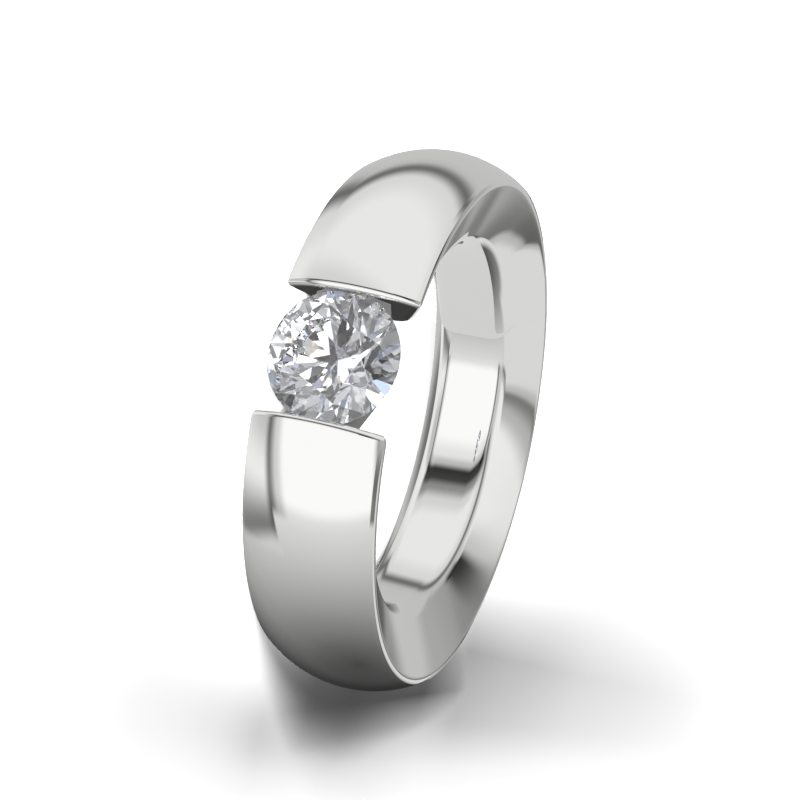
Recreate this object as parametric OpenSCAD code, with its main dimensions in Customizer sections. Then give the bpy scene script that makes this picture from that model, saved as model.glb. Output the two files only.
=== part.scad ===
// Tension-set ring: a domed band, open at the front, grips a round brilliant by its girdle.
// The ring lies on its side: +Z is the finger hole's axis, the origin is the hole's centre,
// and the stone faces -Y.

/* [Finger hole] */
// Diameter of the finger hole
finger_d = 17.2; // [15:0.1:19]
// Width of the hole's straight wall, measured before its two edges are rounded
wall_w = 3.12; // [2.4:0.02:3.6]
// Radius of the comfort rounding between the straight wall and the bevel
comfort_r = 0.66; // [0.3:0.01:0.9]

/* [Band] */
// Width of the band, along the finger
band_w = 6; // [5:0.1:8]
// Diameter over the top of the dome
crest_d = 25.6; // [25:0.1:27]
// Fall of the dome from its crest to the band's side
dome_fall = 0.92; // [0.6:0.01:1.2]
// Width of the flat side between the dome and the inner bevel
side_w = 0.28; // [0.2:0.01:0.6]

/* [Opening for the stone] */
// Distance between the two ends of the band
gap_w = 5.46; // [5.3:0.02:5.6]
// Clearance between the girdle and its grooves
groove_clear = 0.03; // [0.02:0.01:0.06]
// Half width of the sloped ledge under the stone, at each end
ledge_half_w = 1.68; // [1:0.02:2]
// Slope of the ledges, measured from the table's plane
ledge_slope = 47; // [44:1:50]
// Length of each ledge along its slope, inside the gap
ledge_len = 2.05; // [1:0.05:2.2]
// Thickness of the ledges
ledge_t = 0.5; // [0.3:0.05:0.7]
// Distance from the ring's axis to the ledges' top where they leave the ends
ledge_height = 11.26; // [11.1:0.01:11.3]

/* [Stone] */
// Diameter of the stone at its girdle
stone_d = 5.78; // [5.7:0.02:5.9]
// Diameter across the corners of the table
table_d = 3.12; // [3:0.02:3.6]
// Height of the crown, from the girdle to the table
crown_h = 0.87; // [0.7:0.01:1]
// Depth of the pavilion, from the girdle to the culet
pavilion_h = 2.5; // [2.3:0.01:2.7]
// Thickness of the girdle
girdle_t = 0.12; // [0.08:0.01:0.2]
// Distance from the ring's axis to the middle of the girdle
girdle_height = 11.75; // [11.6:0.01:11.9]
// Turn of the stone about its own axis
stone_turn = -2.5; // [-22.5:0.5:22.5]

/* [Hidden] */
$fn = 96;

finger_r = finger_d / 2;
half_w = band_w / 2;
crest_r = crest_d / 2;
side_top_r = crest_r - dome_fall;
side_low_r = side_top_r - side_w;

// The dome is an arc through the crest and both upper corners of the sides
dome_r = (half_w ^ 2 + dome_fall ^ 2) / (2 * dome_fall);
dome_centre = crest_r - dome_r;

// The bevel rises from the straight wall's edge to the flat side
wall_edge = [finger_r, wall_w / 2];
bevel_slope = atan((half_w - wall_edge[1]) / (side_low_r - finger_r));

// The comfort rounding's arc stands proud of both walls by a hair, so that it crosses them
comfort_proud = 0.0025;
comfort_depth = comfort_r - comfort_proud;
comfort_c = wall_edge + comfort_depth * [1, -tan(45 - bevel_slope / 2)];

// How far a cutter reaches past the metal
over = 1;
// How far a ledge is rooted in its end, and how much its sides lean in per millimetre of depth
ledge_root = 0.44;
ledge_lean = 1.3;

stone_r = stone_d / 2;
table_r = table_d / 2;
groove_r = stone_r + groove_clear;
stone_h = crown_h + girdle_t + pavilion_h;
block = 4 * stone_r;

// Plan radius of the points where two crown mains and a star meet, halfway down the crown
star_reach = 0.5;
table_mid_r = table_r * cos(22.5);
star_r = table_mid_r + star_reach * (stone_r - table_mid_r);
// Plan radius of the points where two pavilion mains and the lower halves meet
lower_reach = 0.23;
lower_r = lower_reach * stone_r;

// At the girdle's height the halves meet this far out, so that the mains end just above it
halves_reach = 0.996;
halves_r = halves_reach * stone_r;

// Angles of the facets from the girdle's plane
main_angle = atan(crown_h / (stone_r - table_r));
star_h = (stone_r - star_r * cos(22.5)) * tan(main_angle);
star_angle = atan((crown_h - star_h) / (star_r - table_mid_r));
upper_angle = atan(star_h / ((halves_r - star_r) * cos(11.25)));
pavilion_angle = atan(pavilion_h / stone_r);
lower_h = (stone_r - lower_r * cos(22.5)) * tan(pavilion_angle);
lower_angle = atan(lower_h / ((halves_r - lower_r) * cos(11.25)));

// What the bevel takes off one side of the section, whose x is the radius
module bevel_cutter() translate(wall_edge) rotate(bevel_slope)
    translate([-over, 0]) square([crest_r - finger_r + over, band_w]);

// What the comfort rounding takes off: a wedge square to both walls, less the rounding's circle
module comfort_cutter() translate(comfort_c) difference() {
    polygon([
        [0, 0], [-2 * comfort_r, 0], [-2 * comfort_r, 2 * comfort_r],
        2 * comfort_r * [-sin(bevel_slope), cos(bevel_slope)]
    ]);
    circle(comfort_r);
}

module band_section() difference() {
    intersection() {
        translate([dome_centre, 0]) circle(dome_r);
        translate([finger_r, -half_w]) square([crest_r - finger_r + over, band_w]);
    }
    for (side = [0, 1]) mirror([0, side]) {
        bevel_cutter();
        comfort_cutter();
    }
}

// Places what follows on the stone's axis, with the table's side outwards
module at_stone() translate([0, -girdle_height, 0]) rotate([90, 0, 0]) children();

// The cutter that leaves a V groove in both ends, as wide open as the stone's edge
module groove_cutter() at_stone() rotate_extrude() polygon([
    [0, -groove_r - girdle_t / 2], [groove_r, -girdle_t / 2],
    [groove_r, girdle_t / 2], [0, groove_r + girdle_t / 2]
]);

// A sloped ledge rises from one end and runs under the pavilion; its sides lean in
module ledge() {
    foot_half_w = ledge_half_w - ledge_lean * ledge_t;
    translate([gap_w / 2, -ledge_height, 0])
        rotate([0, 0, 180 - ledge_slope])
            translate([-ledge_root, 0, 0]) rotate([90, 0, 90])
                linear_extrude(ledge_len + ledge_root)
                    polygon([
                        [0, -ledge_half_w], [0, ledge_half_w],
                        [-ledge_t, foot_half_w], [-ledge_t, -foot_half_w]
                    ]);
}

module band() color([0.86, 0.86, 0.84]) {
    difference() {
        union() {
            difference() {
                rotate_extrude() band_section();
                translate([-gap_w / 2, -crest_r - over, -half_w - over])
                    cube([gap_w, crest_r + over, band_w + 2 * over]);
            }
            ledge();
            mirror([1, 0, 0]) ledge();
        }
        groove_cutter();
    }
}

// What one flat takes off the stone: its face leans away from the axis by an angle, towards an
// azimuth, and passes through a point given by its plan radius on that azimuth and its height
module flat_cutter(azimuth, angle, through_r, through_h)
    rotate([0, angle, azimuth])
        translate([-block / 2, -block / 2, through_r * sin(angle) + through_h * cos(angle)])
            cube(block);

// Grinds the 8 mains and then the 16 halves of one side of the stone, with that side up
module grind_side(mains, halves) difference() {
    difference() {
        children();
        for (i = [0 : 7]) flat_cutter(45 * i, mains, stone_r, girdle_t / 2);
    }
    for (i = [0 : 15]) flat_cutter(11.25 + 22.5 * i, halves, halves_r * cos(11.25), girdle_t / 2);
}

module stone() color([0.93, 0.95, 1, 0.7]) at_stone() rotate(stone_turn)
    mirror([0, 0, 1]) grind_side(pavilion_angle, lower_angle)
        mirror([0, 0, 1]) difference() {
            grind_side(main_angle, upper_angle)
                translate([0, 0, -girdle_t / 2 - pavilion_h]) cylinder(h = stone_h, r = stone_r);
            for (i = [0 : 7])
                flat_cutter(22.5 + 45 * i, star_angle, table_mid_r, girdle_t / 2 + crown_h);
        }

band();
stone();
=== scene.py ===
import bpy
import math
from mathutils import Matrix, Quaternion, Vector


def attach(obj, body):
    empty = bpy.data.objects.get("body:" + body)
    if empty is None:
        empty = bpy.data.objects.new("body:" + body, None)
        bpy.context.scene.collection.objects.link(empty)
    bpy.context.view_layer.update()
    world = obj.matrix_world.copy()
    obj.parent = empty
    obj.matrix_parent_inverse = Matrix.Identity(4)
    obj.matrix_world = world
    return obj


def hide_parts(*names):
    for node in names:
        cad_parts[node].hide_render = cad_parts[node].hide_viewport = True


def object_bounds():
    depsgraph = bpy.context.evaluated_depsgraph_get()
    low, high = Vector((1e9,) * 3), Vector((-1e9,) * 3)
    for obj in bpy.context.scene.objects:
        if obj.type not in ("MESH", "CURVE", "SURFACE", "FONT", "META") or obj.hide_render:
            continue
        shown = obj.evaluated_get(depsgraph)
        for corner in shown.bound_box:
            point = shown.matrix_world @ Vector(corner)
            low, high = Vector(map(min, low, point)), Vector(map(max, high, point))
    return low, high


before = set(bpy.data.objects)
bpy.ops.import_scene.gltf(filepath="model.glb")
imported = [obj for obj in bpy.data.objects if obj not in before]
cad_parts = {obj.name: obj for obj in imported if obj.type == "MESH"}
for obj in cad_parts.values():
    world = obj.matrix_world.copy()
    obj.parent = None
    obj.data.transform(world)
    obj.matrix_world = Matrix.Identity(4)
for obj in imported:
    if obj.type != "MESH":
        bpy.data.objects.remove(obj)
cad_low, cad_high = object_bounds()

# The table: a wide pale matt board, level with the band's lower side, on which the ring lies.
# It is lit but kept out of the reflections in the polished metal and the stone.
TABLE_SIZE, BOARD_GREY, BOARD_ROUGHNESS = 1.6, 0.86, 0.9
bpy.ops.object.select_all(action="DESELECT")
bpy.ops.mesh.primitive_plane_add(size=TABLE_SIZE, location=(0, 0, cad_low.z))
table = bpy.context.object
table.name = "table"
bpy.ops.object.transform_apply(location=True, rotation=True, scale=True)
board = bpy.data.materials.new("pale_board")
board.use_nodes = True
paint = board.node_tree.nodes["Principled BSDF"]
paint.inputs["Base Color"].default_value = (BOARD_GREY, BOARD_GREY, BOARD_GREY, 1)
paint.inputs["Roughness"].default_value = BOARD_ROUGHNESS
paint.inputs["Specular IOR Level"].default_value = 0.0
table.data.materials.append(board)
table.visible_glossy = table.visible_transmission = False

# The band: one piece of white metal, turned with a domed outside, narrow flat sides and inner
# bevels, its hole's edges rounded for comfort, then sawn open in front. It is polished all over,
# but for the satin faces of its two ends, whose colour is painted darker as painted shade.
MM = 0.001
FINGER_R, WALL_HALF, GAP_HALF = 8.6 * MM, 1.56 * MM, 2.73 * MM
HALF_W, DOME_FALL, SIDE_W = 3.0 * MM, 0.92 * MM, 0.28 * MM
COMFORT_R, COMFORT_CUTS = 1.1 * MM, 14
BEVEL_CROWN, BEVEL_CUTS = math.radians(5), 8
EASE_ENDS, TOP_EASE_SHARE, LOW_EASE_SHARE, EASE_STEPS = 0.3 * MM, 0.7, 0.15, 5
DOME_POINTS, HOOP_STEPS = 256, 240
SMOOTH_BELOW, FACE_WEIGHT = math.radians(28), 80
NEAR, SAW_NEAR = 0.002 * MM, 1e-8
# The crest is a hundredth of a millimetre lower than the solid's, so that this hoop, whose
# facets are finer, stays inside the solid's box.
CREST_R = 12.79 * MM
SIDE_TOP_R = CREST_R - DOME_FALL
SIDE_LOW_R = SIDE_TOP_R - SIDE_W
DOME_R = (HALF_W ** 2 + DOME_FALL ** 2) / (2 * DOME_FALL)


def select_points(piece, rule):
    """Selects the points that a rule accepts, on a mesh in edit mode."""
    bpy.ops.mesh.select_mode(type="VERT")
    bpy.ops.mesh.select_all(action="DESELECT")
    bpy.ops.object.mode_set(mode="OBJECT")
    for point in piece.data.vertices:
        point.select = rule(point.co)
    bpy.ops.object.mode_set(mode="EDIT")


def saw(through, away, fill=False):
    """Cuts the mesh in edit mode by a plane, and takes off what lies on the far side."""
    bpy.ops.mesh.select_all(action="SELECT")
    bpy.ops.mesh.bisect(
        plane_co=through, plane_no=away, use_fill=fill, clear_outer=True, threshold=SAW_NEAR
    )


def settle(piece, name):
    """Names a piece and puts its place and turn into its mesh."""
    piece.name = piece.data.name = name
    bpy.ops.object.select_all(action="DESELECT")
    piece.select_set(True)
    bpy.context.view_layer.objects.active = piece
    bpy.ops.object.transform_apply(location=True, rotation=True, scale=True)
    return piece


def work(piece, kind, **settings):
    """Adds a modifier to a piece and applies it."""
    bpy.context.view_layer.objects.active = piece
    modifier = piece.modifiers.new(kind.title(), kind)
    for key, value in settings.items():
        setattr(modifier, key, value)
    bpy.ops.object.modifier_apply(modifier=modifier.name)


def round_off(centre, radius, start, end, cuts, side):
    """Saws the section, in edit mode, along flats that touch an arc from one slope to another."""
    for i in range(cuts + 1):
        slope = start + (end - start) * i / cuts
        out = Vector((-math.sin(slope), 0, side * math.cos(slope)))
        saw(Vector((centre.x, 0, side * centre.y)) + radius * out, out)


# The section: a disc as round as the dome, sawn along the sides, the bevels, which are crowned
# a little, the wall and the roundings between wall and bevels.
wall_edge, side_edge = Vector((FINGER_R, WALL_HALF)), Vector((SIDE_LOW_R, HALF_W))
run = side_edge - wall_edge
bevel_slope = math.atan2(run.y, run.x)
bevel_r = run.length / (2 * math.sin(BEVEL_CROWN / 2))
bevel_out = Vector((-math.sin(bevel_slope), math.cos(bevel_slope)))
bevel_centre = (wall_edge + side_edge) / 2 - bevel_out * bevel_r * math.cos(BEVEL_CROWN / 2)
steepest, flattest = bevel_slope + BEVEL_CROWN / 2, bevel_slope - BEVEL_CROWN / 2
comfort_drop = COMFORT_R * (1 - math.sin(steepest)) / math.cos(steepest)
comfort_centre = wall_edge + Vector((COMFORT_R, -comfort_drop))
bpy.ops.mesh.primitive_circle_add(
    vertices=DOME_POINTS, radius=DOME_R, fill_type="NGON",
    location=(CREST_R - DOME_R, 0, 0), rotation=(math.pi / 2, 0, 0),
)
band = settle(bpy.context.object, "polished_band")
bpy.ops.object.mode_set(mode="EDIT")
for side in (-1, 1):
    saw((0, 0, side * HALF_W), (0, 0, side))
    round_off(bevel_centre, bevel_r, flattest, steepest, BEVEL_CUTS, side)
    round_off(comfort_centre, COMFORT_R, steepest, math.pi / 2, COMFORT_CUTS, side)
bpy.ops.mesh.select_all(action="SELECT")
bpy.ops.mesh.remove_doubles(threshold=NEAR)
bpy.ops.mesh.delete(type="ONLY_FACE")
bpy.ops.object.mode_set(mode="OBJECT")
bpy.ops.object.mode_set(mode="EDIT")
bpy.ops.mesh.select_all(action="SELECT")
bpy.ops.mesh.spin(
    steps=HOOP_STEPS, angle=2 * math.pi, center=(0, 0, 0), axis=(0, 0, 1), use_auto_merge=False
)
bpy.ops.object.mode_set(mode="OBJECT")

# The hoop is opened at its seam: each point slides round until the seam is a gap with two flat
# ends, which are closed. The ends' edges and the sides' edges are eased, the ends' more.
per_ring = len(band.data.vertices) // (HOOP_STEPS + 1)
for index, point in enumerate(band.data.vertices):
    radius = math.hypot(point.co.x, point.co.y)
    opening = math.asin(GAP_HALF / radius)
    share = (index // per_ring) / HOOP_STEPS
    turn = opening + share * 2 * (math.pi - opening) - math.pi / 2
    point.co.x, point.co.y = radius * math.cos(turn), radius * math.sin(turn)


def on_end(p):
    return abs(abs(p.x) - GAP_HALF) < NEAR and p.y < 0


def on_side_edge(p, edge_r):
    return abs(abs(p.z) - HALF_W) < NEAR and abs(math.hypot(p.x, p.y) - edge_r) < NEAR


bpy.ops.object.mode_set(mode="EDIT")
for end in (-1, 1):
    select_points(band, lambda p: on_end(p) and p.x * end > 0)
    bpy.ops.mesh.edge_face_add()
bpy.ops.mesh.select_all(action="SELECT")
bpy.ops.mesh.normals_make_consistent(inside=False)
bpy.ops.object.mode_set(mode="OBJECT")
ease = band.data.attributes.new("bevel_weight_edge", "FLOAT", "EDGE")
for edge in band.data.edges:
    p, q = (band.data.vertices[i].co for i in edge.vertices)
    if on_end(p) and on_end(q):
        ease.data[edge.index].value = 1
    for edge_r, share in ((SIDE_TOP_R, TOP_EASE_SHARE), (SIDE_LOW_R, LOW_EASE_SHARE)):
        if on_side_edge(p, edge_r) and on_side_edge(q, edge_r) and p.z * q.z > 0:
            ease.data[edge.index].value = share
work(
    band, "BEVEL", width=EASE_ENDS, segments=EASE_STEPS, limit_method="WEIGHT",
    use_clamp_overlap=False, profile=0.5,
)

# Each end carries a small sloped ledge under the stone and a V groove for the stone's girdle.
LEDGE_HALF_W, LEDGE_LENGTH, LEDGE_T, LEDGE_ROOT = 1.68 * MM, 2.05 * MM, 0.5 * MM, 0.44 * MM
LEDGE_HEIGHT, LEDGE_SLOPE, LEDGE_LEAN = 11.26 * MM, math.radians(47), 1.3
STONE_R, GIRDLE_T, GIRDLE_HEIGHT, STONE_STEPS = 2.89 * MM, 0.12 * MM, 11.75 * MM, 192
GROOVE_CLEARANCE = 0.03 * MM
GROOVE_R = STONE_R + GROOVE_CLEARANCE
for end in (-1, 1):
    bpy.ops.mesh.primitive_cube_add(size=1)
    ledge = bpy.context.object
    for point in ledge.data.vertices:
        top = point.co.z > 0
        along = LEDGE_LENGTH if point.co.x > 0 else -LEDGE_ROOT
        half = LEDGE_HALF_W if top else LEDGE_HALF_W - LEDGE_LEAN * LEDGE_T
        across = half if point.co.y > 0 else -half
        point.co = Vector((along, 0 if top else LEDGE_T, across))
    turn = Matrix.Rotation(math.pi - LEDGE_SLOPE, 3, "Z")
    for point in ledge.data.vertices:
        point.co = turn @ point.co
        point.co += Vector((GAP_HALF, -LEDGE_HEIGHT, 0))
        point.co.x *= end
    settle(ledge, "ledge_blank")
    bpy.ops.object.mode_set(mode="EDIT")
    bpy.ops.mesh.select_all(action="SELECT")
    bpy.ops.mesh.normals_make_consistent(inside=False)
    bpy.ops.object.mode_set(mode="OBJECT")
    work(band, "BOOLEAN", object=ledge, operation="UNION", solver="FAST")
    bpy.data.objects.remove(ledge)
bpy.ops.object.select_all(action="DESELECT")
bpy.ops.mesh.primitive_cylinder_add(
    vertices=STONE_STEPS, radius=GROOVE_R, depth=GIRDLE_T, end_fill_type="TRIFAN",
    location=(0, -GIRDLE_HEIGHT, 0), rotation=(math.pi / 2, 0, 0),
)
groove = settle(bpy.context.object, "groove_cutter")
for point in groove.data.vertices:
    if math.hypot(point.co.x, point.co.z) < NEAR:
        point.co.y += math.copysign(GROOVE_R, point.co.y + GIRDLE_HEIGHT)
work(band, "BOOLEAN", object=groove, operation="DIFFERENCE", solver="EXACT")
bpy.data.objects.remove(groove)
bpy.ops.object.select_all(action="DESELECT")
band.select_set(True)
bpy.context.view_layer.objects.active = band
bpy.ops.object.shade_smooth_by_angle(angle=SMOOTH_BELOW)
work(band, "WEIGHTED_NORMAL", keep_sharp=True, weight=FACE_WEIGHT)


def put(kind, inputs=(), **settings):
    """Adds a node, with settings and with each input a number, a vector or another's output."""
    node = nodes.new("ShaderNode" + kind)
    for key, value in settings.items():
        setattr(node, key, value)
    for i, value in enumerate(inputs):
        if isinstance(value, bpy.types.NodeSocket):
            links.new(value, node.inputs[i])
        elif value is not None:
            node.inputs[i].default_value = value
    return node


def maths(operation, *inputs):
    return put("Math", inputs, operation=operation).outputs[0]


def times(first, second):
    return maths("MULTIPLY", first, second)


def tinted(share, first, second, blend_type="MIX"):
    """Goes from one colour to another by a share, or multiplies them."""
    inputs = (share, None, None, None, None, None, first, second)
    return put("Mix", inputs, data_type="RGBA", blend_type=blend_type).outputs[2]


# The metal's polish and tint vary a little, as soft clouds. Its end faces are satin, and their
# colour is painted darker: painted shade standing in for the dark gap and stone they would reflect.
CLOUD_SCALE, CLOUD_DETAIL, POLISH = 900, 3, (0.035, 0.055)
DARKER_METAL, LIGHTER_METAL = (0.895, 0.896, 0.878, 1), (0.905, 0.905, 0.889, 1)
END_PAINTED_SHADE, END_SATIN, END_DEPTH = (0.42, 0.42, 0.41, 1), 0.35, 0.03 * MM
metal = bpy.data.materials.new("polished_white_metal")
metal.use_nodes = True
nodes, links = metal.node_tree.nodes, metal.node_tree.links
gloss = nodes["Principled BSDF"]
gloss.inputs["Metallic"].default_value = 1.0
place = put("TexCoord").outputs["Object"]
cloud = put("TexNoise", (place, None, CLOUD_SCALE, CLOUD_DETAIL)).outputs["Fac"]
polish = put("MapRange", (cloud, 0, 1, *POLISH)).outputs["Result"]
from_middle, from_back = put("SeparateXYZ", (place,)).outputs[:2]
beside_gap = (maths("ABSOLUTE", from_middle), GAP_HALF, GAP_HALF + END_DEPTH, 1, 0)
on_the_ends = times(
    put("MapRange", beside_gap).outputs["Result"], maths("LESS_THAN", from_back, 0)
)
links.new(maths("MULTIPLY_ADD", on_the_ends, END_SATIN, polish), gloss.inputs["Roughness"])
# The ends' dark grey is painted shade, not the metal's own colour.
tint_and_end_shade = tinted(on_the_ends, tinted(cloud, DARKER_METAL, LIGHTER_METAL), END_PAINTED_SHADE)
links.new(tint_and_end_shade, gloss.inputs["Base Color"])
band.data.materials.clear()
band.data.materials.append(metal)
band.visible_glossy = False
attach(band, "root")
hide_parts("band")

# The stone: a clear round brilliant, ground flat by flat from a round blank, as on a lapidary's
# wheel, and polished. Its girdle sits in the ends' grooves, with the table facing outwards.
TABLE_R, CROWN_H, PAVILION_H = 1.56 * MM, 0.87 * MM, 2.5 * MM
STONE_TURN = math.radians(-2.5)
HALVES_REACH, STAR_REACH, LOWER_REACH = 0.996, 0.5, 0.23
SIXTEENTH = math.pi / 8
table_mid_r = TABLE_R * math.cos(SIXTEENTH)
halves_r = HALVES_REACH * STONE_R
star_r = table_mid_r + STAR_REACH * (STONE_R - table_mid_r)
lower_r = LOWER_REACH * STONE_R
main_angle = math.atan(CROWN_H / (STONE_R - TABLE_R))
star_h = (STONE_R - star_r * math.cos(SIXTEENTH)) * math.tan(main_angle)
star_angle = math.atan((CROWN_H - star_h) / (star_r - table_mid_r))
upper_angle = math.atan(star_h / ((halves_r - star_r) * math.cos(SIXTEENTH / 2)))
pavilion_angle = math.atan(PAVILION_H / STONE_R)
lower_h = (STONE_R - lower_r * math.cos(SIXTEENTH)) * math.tan(pavilion_angle)
lower_angle = math.atan(lower_h / ((halves_r - lower_r) * math.cos(SIXTEENTH / 2)))


def grind(azimuth, angle, radius, height, up):
    """Grinds one flat, given its lean from the axis, and a point by plan radius and height."""
    out = Vector((math.cos(azimuth), math.sin(azimuth), 0))
    saw(out * radius + Vector((0, 0, up * height)),
        out * math.sin(angle) + Vector((0, 0, up * math.cos(angle))), fill=True)


bpy.ops.mesh.primitive_cylinder_add(
    vertices=STONE_STEPS, radius=STONE_R, depth=GIRDLE_T + CROWN_H + PAVILION_H,
    location=(0, 0, (CROWN_H - PAVILION_H) / 2),
)
stone = settle(bpy.context.object, "brilliant_stone")
bpy.ops.object.mode_set(mode="EDIT")
half_girdle = GIRDLE_T / 2
for up, mains, halves in ((1, main_angle, upper_angle), (-1, pavilion_angle, lower_angle)):
    for i in range(8):
        grind(2 * SIXTEENTH * i, mains, STONE_R, half_girdle, up)
    for i in range(16):
        grind(SIXTEENTH * (i + 0.5), halves, halves_r * math.cos(SIXTEENTH / 2), half_girdle, up)
for i in range(8):
    grind(SIXTEENTH * (2 * i + 1), star_angle, table_mid_r, half_girdle + CROWN_H, 1)
bpy.ops.mesh.select_all(action="SELECT")
bpy.ops.mesh.normals_make_consistent(inside=False)
bpy.ops.object.mode_set(mode="OBJECT")
stone.location = (0, -GIRDLE_HEIGHT, 0)
stone.rotation_mode = "QUATERNION"
stone.rotation_quaternion = (
    Quaternion((1, 0, 0), math.pi / 2) @ Quaternion((0, 0, 1), STONE_TURN)
)
settle(stone, "brilliant_stone")

# Cubic zirconia bends light by this much, and its clearness has the faintest cool clouds.
STONE_IOR, HAZE_SCALE = 2.16, 400
COOL_CLEAR, PURE_CLEAR = (0.985, 0.99, 1, 1), (1, 1, 1, 1)
crystal = bpy.data.materials.new("clear_stone")
crystal.use_nodes = True
nodes, links = crystal.node_tree.nodes, crystal.node_tree.links
clear = nodes["Principled BSDF"]
clear.inputs["Transmission Weight"].default_value = 1.0
clear.inputs["IOR"].default_value = STONE_IOR
clear.inputs["Roughness"].default_value = 0.0
haze = put("TexNoise", (put("TexCoord").outputs["Object"], None, HAZE_SCALE)).outputs["Fac"]
links.new(tinted(haze, COOL_CLEAR, PURE_CLEAR), clear.inputs["Base Color"])
stone.data.materials.clear()
stone.data.materials.append(crystal)
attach(stone, "root")
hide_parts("stone")

# The camera: close in front of the stone and a little above it, turned on its side so that the
# ring, which lies on the table, stands upright in the picture.
CAMERA_PLACE = (0.013922, -0.081895, 0.0272)
CAMERA_TURN = Quaternion((0.457508, 0.409682, -0.416013, 0.670657))
SENSOR_WIDTH, LENS, NEAREST_SEEN = 36, 83.467, 0.005
camera_data = bpy.data.cameras.new("camera")
camera = bpy.data.objects.new("camera", camera_data)
bpy.context.scene.collection.objects.link(camera)
camera.location = CAMERA_PLACE
camera.rotation_mode = "QUATERNION"
camera.rotation_quaternion = CAMERA_TURN
camera_data.sensor_width = SENSOR_WIDTH
camera_data.lens = LENS
camera_data.clip_start = NEAREST_SEEN
bpy.context.scene.camera = camera

# The studio: a tent of soft boxes round the picture's upright. A ceiling, a brighter front box,
# greyer walls, dark seams where the boxes meet, and a floor that darkens under the ring.
UPRIGHT = Vector((-0.7431, -0.6691, 0))
FORWARD = Vector((0.6239, -0.6929, 0.3614))
ASIDE = Vector((-0.2418, 0.2686, 0.9324))
CEILING_TILT = Vector((-0.5692, -0.7921, -0.2204))
BOX_TOP_TILT = Vector((-0.946, 0.28, 0.161))
UNDER_RING = Vector((0.168, 0.958, -0.232))
CEILING, FRONT_BOX, WALL, SEAM, FLOOR = 0.888, 1.062, 0.572, 0.165, 0.745
world = bpy.data.worlds.new("soft_box_tent")
bpy.context.scene.world = world
world.use_nodes = True
nodes, links = world.node_tree.nodes, world.node_tree.links
nodes.clear()


def plus(first, second):
    return maths("ADD", first, second)


def degrees_along(axis):
    """The angle in degrees by which the direction rises towards an axis."""
    share = put("VectorMath", (direction, axis), operation="DOT_PRODUCT").outputs["Value"]
    return times(maths("ARCSINE", share), 180 / math.pi)


def profile(value, *stops, curve="EASE"):
    """A curve over a value, through (value, level) stops, where a level is a grey or a colour."""
    low, high = stops[0][0], stops[-1][0]
    share = put("MapRange", (value, low, high, 0, 1)).outputs["Result"]
    ramp = put("ValToRGB", (share,))
    points = ramp.color_ramp.elements
    ramp.color_ramp.interpolation = curve
    while len(points) < len(stops):
        points.new(0.5)
    for point, (angle, level) in zip(points, stops):
        point.position = (angle - low) / (high - low)
        point.color = (*level, 1) if isinstance(level, tuple) else (level, level, level, 1)
    return ramp.outputs["Color"]


def blend(share, first, second):
    return put("Mix", (share, None, first, second), data_type="FLOAT").outputs["Result"]


direction = put("TexCoord").outputs["Generated"]
rise = degrees_along(UPRIGHT)
ahead, aside = (
    put("VectorMath", (direction, axis), operation="DOT_PRODUCT").outputs["Value"]
    for axis in (FORWARD, ASIDE)
)
bearing = times(maths("ARCTAN2", aside, ahead), 180 / math.pi)

# The ceiling's far edge is a straight seam, and its left edge runs down beside the back wall.
CEILING_END, CEILING_LEFT = 14.75, -160
past_far_edge = plus(degrees_along(CEILING_TILT), -CEILING_END)
past_left_edge = maths("WRAP", plus(bearing, -CEILING_LEFT), 180, -180)
room = profile(
    maths("MAXIMUM", past_far_edge, past_left_edge),
    (-14, WALL), (-9, 0.94 * WALL), (-0.5, SEAM), (9, 0.84 * CEILING), (28, CEILING),
)

# The front box, and left of it a greyer panel that brightens downwards, with dark seams: one
# upright and slanted, one along the panel's foot, one at the box's right end, one along its top.
SEAM_LEAN, PANEL_MIDDLE, PANEL_LEAN = 0.57, -95, -0.2
slant = plus(bearing, times(rise, SEAM_LEAN))
beside = profile(slant, (-80, 0), (-77, 1))
panel = profile(
    plus(rise, times(plus(bearing, -PANEL_MIDDLE), PANEL_LEAN)),
    (-34, 0.66), (-27, 0.22), (-11, 0.92), (5, 0.57), (40, 0.6),
)
box = profile(rise, (-16, 0.79), (-9, FRONT_BOX), (45, FRONT_BOX), (60, CEILING))
upright_seam = blend(
    profile(rise, (-30, 0), (-16, 1)), 1.0,
    profile(slant, (-87, 1), (-78.5, 0.24), (-70, 0.66), (-60, 1)),
)
end_seam = profile(bearing, (19, 1), (26, 0.15), (32, 0.6))
front = times(times(upright_seam, end_seam), blend(beside, panel, box))
past_box_top = degrees_along(BOX_TOP_TILT)
top_seam = profile(
    past_box_top,
    (-25, 1), (-12, 0.8), (-7, 0.55), (-2, 0.04), (3, 0.06), (9, 0.32), (18, 0.8), (30, 1),
)
by_the_top_seam = times(
    profile(bearing, (-150, 0), (-110, 1), (30, 1), (60, 0)), profile(rise, (20, 0), (35, 1))
)
in_front = times(
    profile(bearing, (-125, 0), (-110, 1), (32, 1), (38, 0)), profile(past_box_top, (-2, 1), (2, 0))
)
walls = times(blend(in_front, room, front), blend(by_the_top_seam, 1.0, top_seam))

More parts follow.
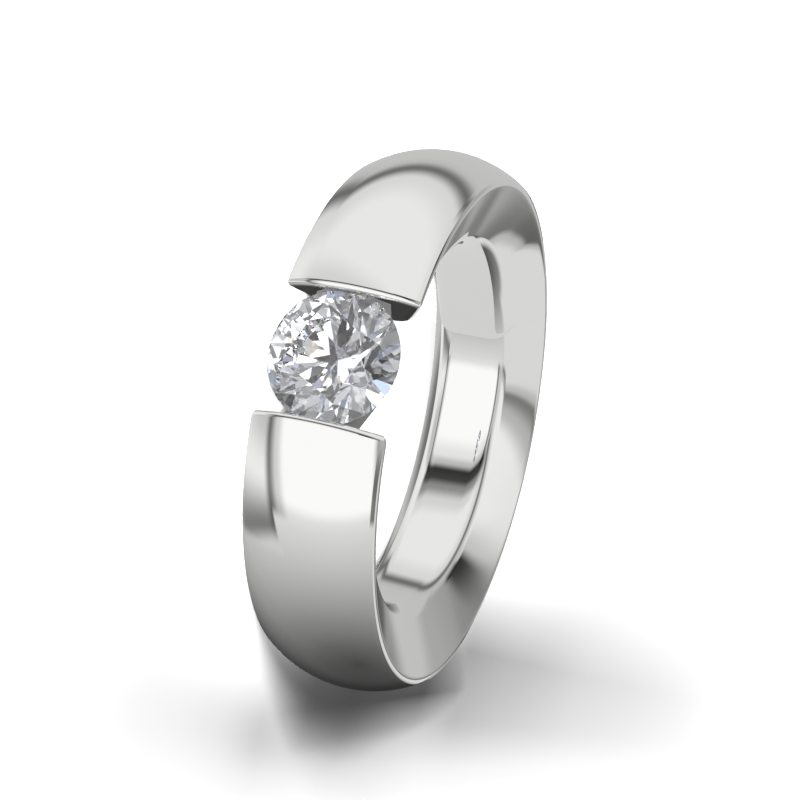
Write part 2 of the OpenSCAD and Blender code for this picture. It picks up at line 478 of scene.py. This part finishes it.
# The right side: a bright panel, a narrow dark opening and a grey wall, above a pale floor
# whose edge sinks towards the back.
right_wall = profile(
    bearing, (75, 0.92), (97, 0.9), (105, 0.6), (109, 0.03), (114, 0.03), (119, 0.36),
    (132, 0.42), (140, 0.57),
)
right_wall_foot = profile(
    bearing, (85, 0.92), (100, 0.85), (112, 0.24), (119, 0.29), (126, 0.38), (146, 0.38), (153, 0.22)
)
right_floor_depth = profile(
    bearing, (97, 18), (106, 32), (113, 38.5), (120, 40), (129, 41), (145, 43), curve="LINEAR"
)
above_floor = plus(rise, right_floor_depth)
foot_depth = profile(bearing, (118, 0), (132, 24), curve="LINEAR")
foot_seam = blend(
    profile(bearing, (99, 0), (110, 1)), profile(above_floor, (0, 0.22), (3, 0.55), (7, 1)),
    profile(above_floor, (0, 0.5), (7, 1)),
)
right = times(
    blend(profile(plus(rise, foot_depth), (-11, 1), (-3, 0)), right_wall, right_wall_foot), foot_seam
)
right = blend(profile(above_floor, (-2.5, 1), (-1, 0.6), (0, 0)), right, FLOOR)
on_the_right = times(
    profile(bearing, (35, 0), (55, 1), (158, 1), (170, 0)), profile(rise, (5, 1), (25, 0))
)
walls = blend(on_the_right, walls, right)

# The floor in front and to the left, with the ring's shade on it towards the back.
shade = profile(
    degrees_along(UNDER_RING),
    (20, 1), (35, 0.95), (48, 0.8), (57, 0.6), (65, 0.42), (73, 0.24), (80, 0.13), (90, 0.06),
    curve="LINEAR",
)
ground = times(shade, profile(
    rise, (-90, 0.09), (-75, 0.157), (-60, 0.278), (-45, 0.446), (-30, 0.62), (-15, 0.78),
    curve="LINEAR",
))
under = blend(beside, profile(rise, (-33, 1), (-29, 0)), profile(rise, (-19, 1), (-15, 0)))
under = times(under, blend(on_the_right, 1.0, profile(rise, (-60, 1), (-48, 0))))
tent = blend(under, walls, ground)

# What the stone throws back comes from a screen of small cards, hung for its sparkle: white above
# and to the left, grey lower down and to the right, with two dark flags and a few faint tints.
CARDS_ACROSS, CARDS_SHIFT = 7, (8.8, 3.1, 1.6)
FIRST_FLAG, SECOND_FLAG = Vector((0.087, -0.996, 0.003)), Vector((-0.188, -0.969, 0.161))
WHITE_CARD, GREY_CARD, FLAG = 1.25, 0.28, 0.05
shifted = put("VectorMath", (direction, CARDS_SHIFT), operation="ADD").outputs[0]
cards = put("TexVoronoi", (shifted, None, CARDS_ACROSS)).outputs["Color"]
first_draw, second_draw = put("SeparateColor", (cards,)).outputs[:2]
strength = profile(
    first_draw, (0, 0.1), (0.25, 0.45), (0.48, 1), (0.74, 2), (1, 2), curve="CONSTANT"
)
card_tint = profile(
    second_draw, (0, (0.72, 0.87, 1.2)), (0.06, (0.87, 0.85, 1.12)), (0.12, (1.07, 1, 0.92)),
    (0.17, (1.07, 0.82, 0.86)), (0.19, (0.975, 0.985, 1.02)), (1, (0.975, 0.985, 1.02)),
    curve="CONSTANT",
)
low_cards = times(profile(rise, (27, 1), (32, 0)), profile(bearing, (-50, 0), (-42, 1)))
right_cards = profile(bearing, (2, 0), (8, 1))
grey_cards = times(maths("MAXIMUM", low_cards, right_cards), profile(bearing, (60, 1), (80, 0)))
flags = maths(
    "MAXIMUM",
    profile(degrees_along(FIRST_FLAG), (81, 0), (83, 1)),
    profile(degrees_along(SECOND_FLAG), (84, 0), (85.5, 1)),
)
screen = times(strength, blend(flags, blend(grey_cards, WHITE_CARD, GREY_CARD), FLAG))
screen = tinted(1.0, card_tint, screen, "MULTIPLY")

# The polished metal sees the tent itself. The table gets a dim even light in its place, and the
# camera sees plain white beyond the table.
DIM_GREY, BACKDROP = (0.1, 0.1, 0.1, 1), (1, 1, 1, 1)
ray = put("LightPath").outputs
seen = tinted(ray["Is Transmission Ray"], tent, screen)
seen = tinted(ray["Is Diffuse Ray"], seen, DIM_GREY)
seen = tinted(ray["Is Camera Ray"], seen, BACKDROP)
glow = put("Background", (None, 1.0))
links.new(seen, glow.inputs["Color"])
links.new(glow.outputs[0], put("OutputWorld").inputs["Surface"])

# The bounce card: a small glowing sheet across the back of the finger hole, let into the band.
# Only the polished metal sees it, from above, and the hole's upper wall is lit by it. Its near
# and far edges are each so far back from the hole's axis, and so far up the picture.
BACKWARD = Vector((-0.6691, 0.7431, 0))
NEAR_EDGE, FAR_EDGE = (5.6 * MM, -1.5 * MM), (12.0 * MM, 2.4 * MM)
CARD_LOW, CARD_HIGH, CARD_GLOW = -5.5 * MM, 2.1 * MM, 0.7
bpy.ops.object.select_all(action="DESELECT")
bpy.ops.mesh.primitive_plane_add(size=1)
bounce_card = settle(bpy.context.object, "bounce_card")
for point in bounce_card.data.vertices:
    back, up = FAR_EDGE if point.co.x > 0 else NEAR_EDGE
    height = CARD_HIGH if point.co.y > 0 else CARD_LOW
    point.co = BACKWARD * back + UPRIGHT * up + Vector((0, 0, height))
bpy.ops.object.mode_set(mode="EDIT")
bpy.ops.mesh.select_all(action="SELECT")
if bounce_card.data.polygons[0].normal.dot(UPRIGHT) < 0:
    bpy.ops.mesh.flip_normals()
bpy.ops.object.mode_set(mode="OBJECT")
paper = bpy.data.materials.new("glowing_card")
paper.use_nodes = True
nodes, links = paper.node_tree.nodes, paper.node_tree.links
nodes.clear()
shine = put("Emission", (None, CARD_GLOW)).outputs[0]
underside = put("NewGeometry").outputs["Backfacing"]
card_face = put("MixShader", (underside, shine, put("BsdfTransparent").outputs[0])).outputs[0]
put("OutputMaterial", (card_face,))
bounce_card.data.materials.append(paper)
bounce_card.visible_camera = bounce_card.visible_diffuse = bounce_card.visible_shadow = False
bounce_card.visible_transmission = False

# The shade film: clear film laid on the board, graded grey for the wide pool of shade under the
# ring and its long tail to the back. Only the lamps' light meets it, on its way to the board.
# A patch that slants drifts across the film by so much for each millimetre along it.
FILM_CENTRE, FILM_SIZE, FILM_LIFT = (8 * MM, 70 * MM), (30 * MM, 190 * MM), 0.02 * MM
CORE_SLANT, POOL_SLANT, TAIL_SLANT = 0.13, 0, 0.055
bpy.ops.object.select_all(action="DESELECT")
bpy.ops.mesh.primitive_plane_add(size=1, location=(*FILM_CENTRE, cad_low.z + FILM_LIFT))
shade_film = bpy.context.object
shade_film.scale = (*FILM_SIZE, 1)
settle(shade_film, "shade_film")
graded = bpy.data.materials.new("graded_film")
graded.use_nodes = True
nodes, links = graded.node_tree.nodes, graded.node_tree.links
nodes.clear()
in_mm = put("VectorMath", (put("TexCoord").outputs["Object"], (1 / MM,) * 3), operation="MULTIPLY")
across, along = put("SeparateXYZ", (in_mm.outputs[0],)).outputs[:2]


def patch(slant, across_stops, along_stops):
    """A soft patch of grey, whose stops are millimetres across, slanted, and along the film."""
    return times(
        profile(plus(across, times(along, slant)), *across_stops, curve="LINEAR"),
        profile(along, *along_stops, curve="LINEAR"),
    )


core = patch(
    CORE_SLANT,
    ((10, 0.4), (12.5, 0.9), (14.8, 1), (15.4, 0.85), (16.5, 0.6), (17.3, 0.3), (18.5, 0)),
    ((-9, 0), (-2, 0.2), (5, 0.8), (11, 1), (24, 1), (31, 0.8), (38, 0.35), (48, 0)),
)
pool = patch(
    POOL_SLANT,
    ((11, 0), (13, 0.35), (15, 0.95), (15.8, 1), (16.6, 0.85), (17.5, 0.5), (19, 0.1), (20, 0)),
    ((-21, 0), (-14, 0.14), (-10, 0.18), (-5, 0.28), (-1, 0.45), (4, 0.35), (12, 0.1), (24, 0)),
)
tail = patch(
    TAIL_SLANT,
    (
        (2.5, 0), (5, 0.3), (7, 0.62), (10, 1), (12.8, 0.85), (14.6, 0.75), (16, 0.5),
        (17.3, 0.25), (20, 0),
    ),
    (
        (6, 0), (20, 0.5), (32, 0.75), (42, 0.62), (55, 0.5), (69, 0.38), (89, 0.3),
        (113, 0.21), (165, 0),
    ),
)
passed = plus(times(maths("MAXIMUM", core, maths("MAXIMUM", pool, tail)), -1), 1)
put("OutputMaterial", (put("BsdfTransparent", (passed,)).outputs[0],))
shade_film.data.materials.append(graded)
shade_film.visible_camera = shade_film.visible_diffuse = shade_film.visible_glossy = False
shade_film.visible_transmission = False

# The key light: a broad soft lamp far off, in front and a little beyond the picture's upper edge.
# It throws the ring's shade down the picture, and shows neither in the metal nor in the stone.
KEY_TRAVEL, KEY_SPREAD, KEY_POWER = Vector((0.3, 0.85, -0.44)), math.radians(24), 8.3


def hang(name, kind, travel, power):
    """Hangs a lamp that shines along a direction, unseen by polished metal and by the stone."""
    lamp = bpy.data.objects.new(name, bpy.data.lights.new(name, kind))
    bpy.context.scene.collection.objects.link(lamp)
    lamp.rotation_mode = "QUATERNION"
    lamp.rotation_quaternion = travel.to_track_quat("-Z", "Y")
    lamp.visible_glossy = lamp.visible_transmission = False
    lamp.data.energy = power
    return lamp


key = hang("key_lamp", "SUN", KEY_TRAVEL, KEY_POWER)
key.data.angle = KEY_SPREAD

# The fill: a snooted lamp just above the camera, which reaches the table through the finger
# hole. It is aimed at a point beside the hole's centre.
FILL_ABOVE, FILL_AIM, FILL_POWER = Vector((0, 0, 4 * MM)), Vector((-2 * MM, 0, 0)), 2.0
FILL_CONE, FILL_SOFTNESS, FILL_R = math.radians(17), 0.5, 6 * MM
fill_place = camera.location + FILL_ABOVE
fill = hang("fill_lamp", "SPOT", FILL_AIM - fill_place, FILL_POWER)
fill.location = fill_place
fill.data.spot_size = FILL_CONE
fill.data.spot_blend = FILL_SOFTNESS
fill.data.shadow_soft_size = FILL_R

# The picture: tones are shown as they are, light may turn back often inside the stone, and no
# bright spots are thrown from metal or stone onto other things.
scene = bpy.context.scene
scene.view_settings.view_transform = "Standard"
scene.cycles.max_bounces = 32
scene.cycles.glossy_bounces = 24
scene.cycles.transmission_bounces = 24
scene.cycles.caustics_reflective = False
scene.cycles.caustics_refractive = False
